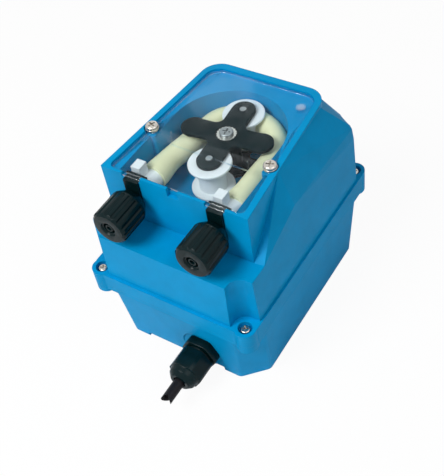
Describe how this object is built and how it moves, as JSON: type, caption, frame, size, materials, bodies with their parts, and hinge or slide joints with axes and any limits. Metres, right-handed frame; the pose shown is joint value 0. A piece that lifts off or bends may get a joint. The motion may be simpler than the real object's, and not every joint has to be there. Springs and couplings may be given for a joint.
{
  "type": "peristaltic dosing pump",
  "caption": "Wall-mounted peristaltic dosing pump: blue two-part housing, clear cover over a two-roller rotor and hose, ribbed hose nuts, cable gland and geared motor.",
  "frame": {"origin": "centre of the four wall-fixing holes, in the plane of the rear foot rails that stand on the wall or bench", "axes": "+Z out of the wall towards the clear cover, -Y towards the hose nuts and cable gland, +X to the right seen from the cover side with the nuts down"},
  "size_m": [0.1, 0.1633, 0.114],
  "materials": {
    "blue_housing": "fine satin",
    "clear_cover": "polished clear",
    "black_plastic": "satin",
    "white_plastic": "smooth",
    "steel": "bright",
    "motor_steel": "plated",
    "brass": "machined",
    "copper": "enamelled wire",
    "cream_tube": "matt",
    "rubber": "matt",
    "board": "coated",
    "grey_plastic": "satin"
  },
  "bodies": {
    "housing": {"rear_box": "blue_housing", "housing_seal": "rubber", "front_housing": "blue_housing", "housing_screws": "steel", "shaft_bush": "brass", "gear_axles": "steel", "gearbox_case": "grey_plastic", "gearbox_lid": "motor_steel", "gearbox_screws": "steel", "motor_can": "motor_steel", "motor_coil": "copper", "motor_cap": "grey_plastic", "pump_tube": "cream_tube", "tube_barb_left": "white_plastic", "tube_barb_right": "white_plastic", "hose_nipple_left": "black_plastic", "hose_nipple_right": "black_plastic", "gland_body": "black_plastic", "gland_seal": "rubber", "gland_lock_nut": "black_plastic", "cable": "rubber", "circuit_board": "board", "board_screws": "steel", "terminal_block": "grey_plastic"},
    "cover": {"cover": "clear_cover", "cover_screws": "steel"},
    "rotor": {"rotor_top": "black_plastic", "rotor_base": "black_plastic", "roller_pins": "steel", "hub_washer": "steel", "hub_screw": "steel", "drive_shaft": "steel", "output_gear": "white_plastic"},
    "roller_back": {"roller_back": "white_plastic"},
    "roller_front": {"roller_front": "white_plastic"},
    "second_gear": {"second_gear": "white_plastic"},
    "first_gear": {"first_gear": "white_plastic"},
    "armature": {"armature": "motor_steel", "motor_pinion": "brass"},
    "ring_nut_left": {"ring_nut_left": "black_plastic"},
    "ring_nut_right": {"ring_nut_right": "black_plastic"},
    "gland_cap": {"gland_cap": "black_plastic"}
  },
  "joints": [
    {"name": "cover_lift", "type": "slide", "parent": "housing", "child": "cover", "axis": [0, 0, 1], "range_m": [0, 0.03]},
    {"name": "rotor_spin", "type": "hinge", "parent": "housing", "child": "rotor", "pos_m": [0, 0.0068, 0.1], "axis": [0, 0, 1], "continuous": true, "deforming": ["pump_tube"]},
    {"name": "roller_back_spin", "type": "hinge", "parent": "rotor", "child": "roller_back", "pos_m": [-0.00168, 0.02603, 0.097], "axis": [0, 0, 1], "continuous": true},
    {"name": "roller_front_spin", "type": "hinge", "parent": "rotor", "child": "roller_front", "pos_m": [0.00168, -0.01243, 0.097], "axis": [0, 0, 1], "continuous": true},
    {"name": "second_gear_spin", "type": "hinge", "parent": "housing", "child": "second_gear", "pos_m": [0.01697, -0.01017, 0.072], "axis": [0, 0, 1], "continuous": true},
    {"name": "first_gear_spin", "type": "hinge", "parent": "housing", "child": "first_gear", "pos_m": [0.00954, -0.02457, 0.068], "axis": [0, 0, 1], "continuous": true},
    {"name": "armature_spin", "type": "hinge", "parent": "housing", "child": "armature", "pos_m": [-0.006, -0.02, 0.05], "axis": [0, 0, 1], "continuous": true},
    {"name": "ring_nut_left_turn", "type": "hinge", "parent": "housing", "child": "ring_nut_left", "pos_m": [-0.024, -0.05, 0.097], "axis": [0, -1, 0], "range_deg": [0, 720]},
    {"name": "ring_nut_right_turn", "type": "hinge", "parent": "housing", "child": "ring_nut_right", "pos_m": [0.024, -0.05, 0.097], "axis": [0, -1, 0], "range_deg": [0, 720]},
    {"name": "gland_cap_turn", "type": "hinge", "parent": "housing", "child": "gland_cap", "pos_m": [0.014, -0.07, 0.0146], "axis": [0, -1, 0], "range_deg": [0, 720]}
  ],
  "couplings": [
    {"joint": "first_gear_spin", "follows": "armature_spin", "ratio": -0.28571},
    {"joint": "second_gear_spin", "follows": "armature_spin", "ratio": 0.081633},
    {"joint": "rotor_spin", "follows": "armature_spin", "ratio": -0.024845},
    {"joint": "roller_back_spin", "follows": "armature_spin", "ratio": 0.091442},
    {"joint": "roller_front_spin", "follows": "armature_spin", "ratio": 0.091442}
  ]
}
